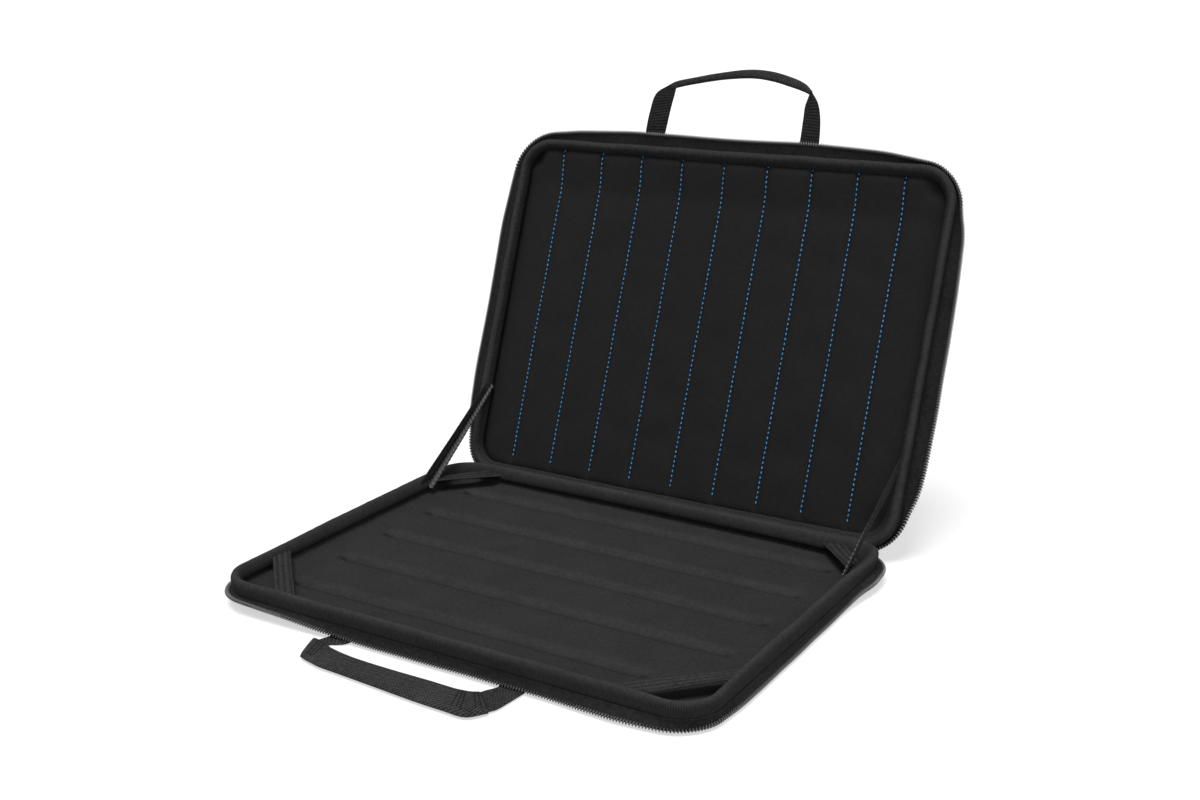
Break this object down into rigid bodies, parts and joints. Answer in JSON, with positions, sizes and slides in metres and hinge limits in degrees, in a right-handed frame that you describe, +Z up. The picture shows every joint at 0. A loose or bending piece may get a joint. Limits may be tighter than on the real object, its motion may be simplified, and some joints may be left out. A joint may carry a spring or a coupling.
{
  "type": "laptop case",
  "caption": "Slim moulded laptop case that zips round three sides, standing open, with bound rims, a quilted lid lining, elastic corner straps and webbing carrying handles.",
  "frame": {"origin": "on the ground, at the middle of the base half's underside, on the centre bar's face", "axes": "+X to the right and +Y to the hinge side as the open case faces the user, +Z up"},
  "size_m": [0.3628, 0.4397, 0.3052],
  "materials": {
    "shell_cloth": "woven polyester over moulded foam, matt",
    "base_lining_cloth": "brushed tricot, matt",
    "quilted_cloth": "brushed tricot over foam, matt",
    "binding_tape": "ribbed grosgrain, matt",
    "zipper_cloth": "woven zipper tape, matt",
    "zipper_nylon": "moulded nylon coil",
    "elastic": "ribbed elastic webbing",
    "ribbon": "woven ribbon",
    "hinge_cloth": "woven polyester",
    "webbing": "twill and ribbed polyester webbing",
    "black_thread": "bonded thread",
    "blue_thread": "bonded thread, bright blue",
    "blackened_metal": "black enamelled zinc"
  },
  "bodies": {
    "base": {"base_shell": "shell_cloth", "base_lining": "base_lining_cloth", "base_binding": "binding_tape", "base_zipper_tape": "zipper_cloth", "base_zipper_coil": "zipper_nylon", "base_zipper_end_stops": "zipper_nylon", "corner_strap_front_left": "elastic", "corner_strap_front_right": "elastic", "corner_strap_back_left": "elastic", "corner_strap_back_right": "elastic", "base_handle_anchors": "webbing", "hinge_fabric": "hinge_cloth", "stay_ribbon_left": "ribbon", "stay_ribbon_right": "ribbon"},
    "lid": {"lid_shell": "shell_cloth", "lid_lining": "quilted_cloth", "lid_quilt_stitching": "blue_thread", "lid_binding": "binding_tape", "lid_zipper_tape": "zipper_cloth", "lid_zipper_coil": "zipper_nylon", "lid_zipper_end_stops": "zipper_nylon", "lid_handle_anchors": "webbing"},
    "base_handle": {"base_handle_webbing": "webbing", "base_handle_stitching": "black_thread"},
    "lid_handle": {"lid_handle_webbing": "webbing", "lid_handle_stitching": "black_thread"},
    "slider_left": {"zipper_slider_left": "blackened_metal"},
    "slider_right": {"zipper_slider_right": "blackened_metal"},
    "tab_left": {"pull_tab_left": "blackened_metal"},
    "tab_right": {"pull_tab_right": "blackened_metal"}
  },
  "joints": [
    {"name": "lid_hinge", "type": "hinge", "parent": "base", "child": "lid", "pos_m": [0, 0.1283, 0.014], "axis": [1, 0, 0], "range_deg": [0, 111.4], "deforming": ["hinge_fabric", "stay_ribbon_left", "stay_ribbon_right"]},
    {"name": "base_handle_swing", "type": "hinge", "parent": "base", "child": "base_handle", "pos_m": [-0.008, -0.1329, 0.0015], "axis": [-1, 0, 0], "range_deg": [0, 65]},
    {"name": "lid_handle_swing", "type": "hinge", "parent": "lid", "child": "lid_handle", "pos_m": [-0.008, 0.24809, 0.2476], "axis": [-1, 0, 0], "range_deg": [0, 90]},
    {"name": "slider_left_slide", "type": "slide", "parent": "base", "child": "slider_left", "axis": [-1, 0, 0], "range_m": [0, 0.026]},
    {"name": "slider_right_slide", "type": "slide", "parent": "base", "child": "slider_right", "axis": [1, 0, 0], "range_m": [0, 0.026]},
    {"name": "pull_tab_left_swing", "type": "hinge", "parent": "slider_left", "child": "tab_left", "pos_m": [-0.0985, 0.13441, 0.0035], "axis": [0, 0, -1], "range_deg": [0, 12]},
    {"name": "pull_tab_right_swing", "type": "hinge", "parent": "slider_right", "child": "tab_right", "pos_m": [0.0985, 0.13441, 0.0035], "axis": [0, 0, 1], "range_deg": [0, 12]}
  ]
}
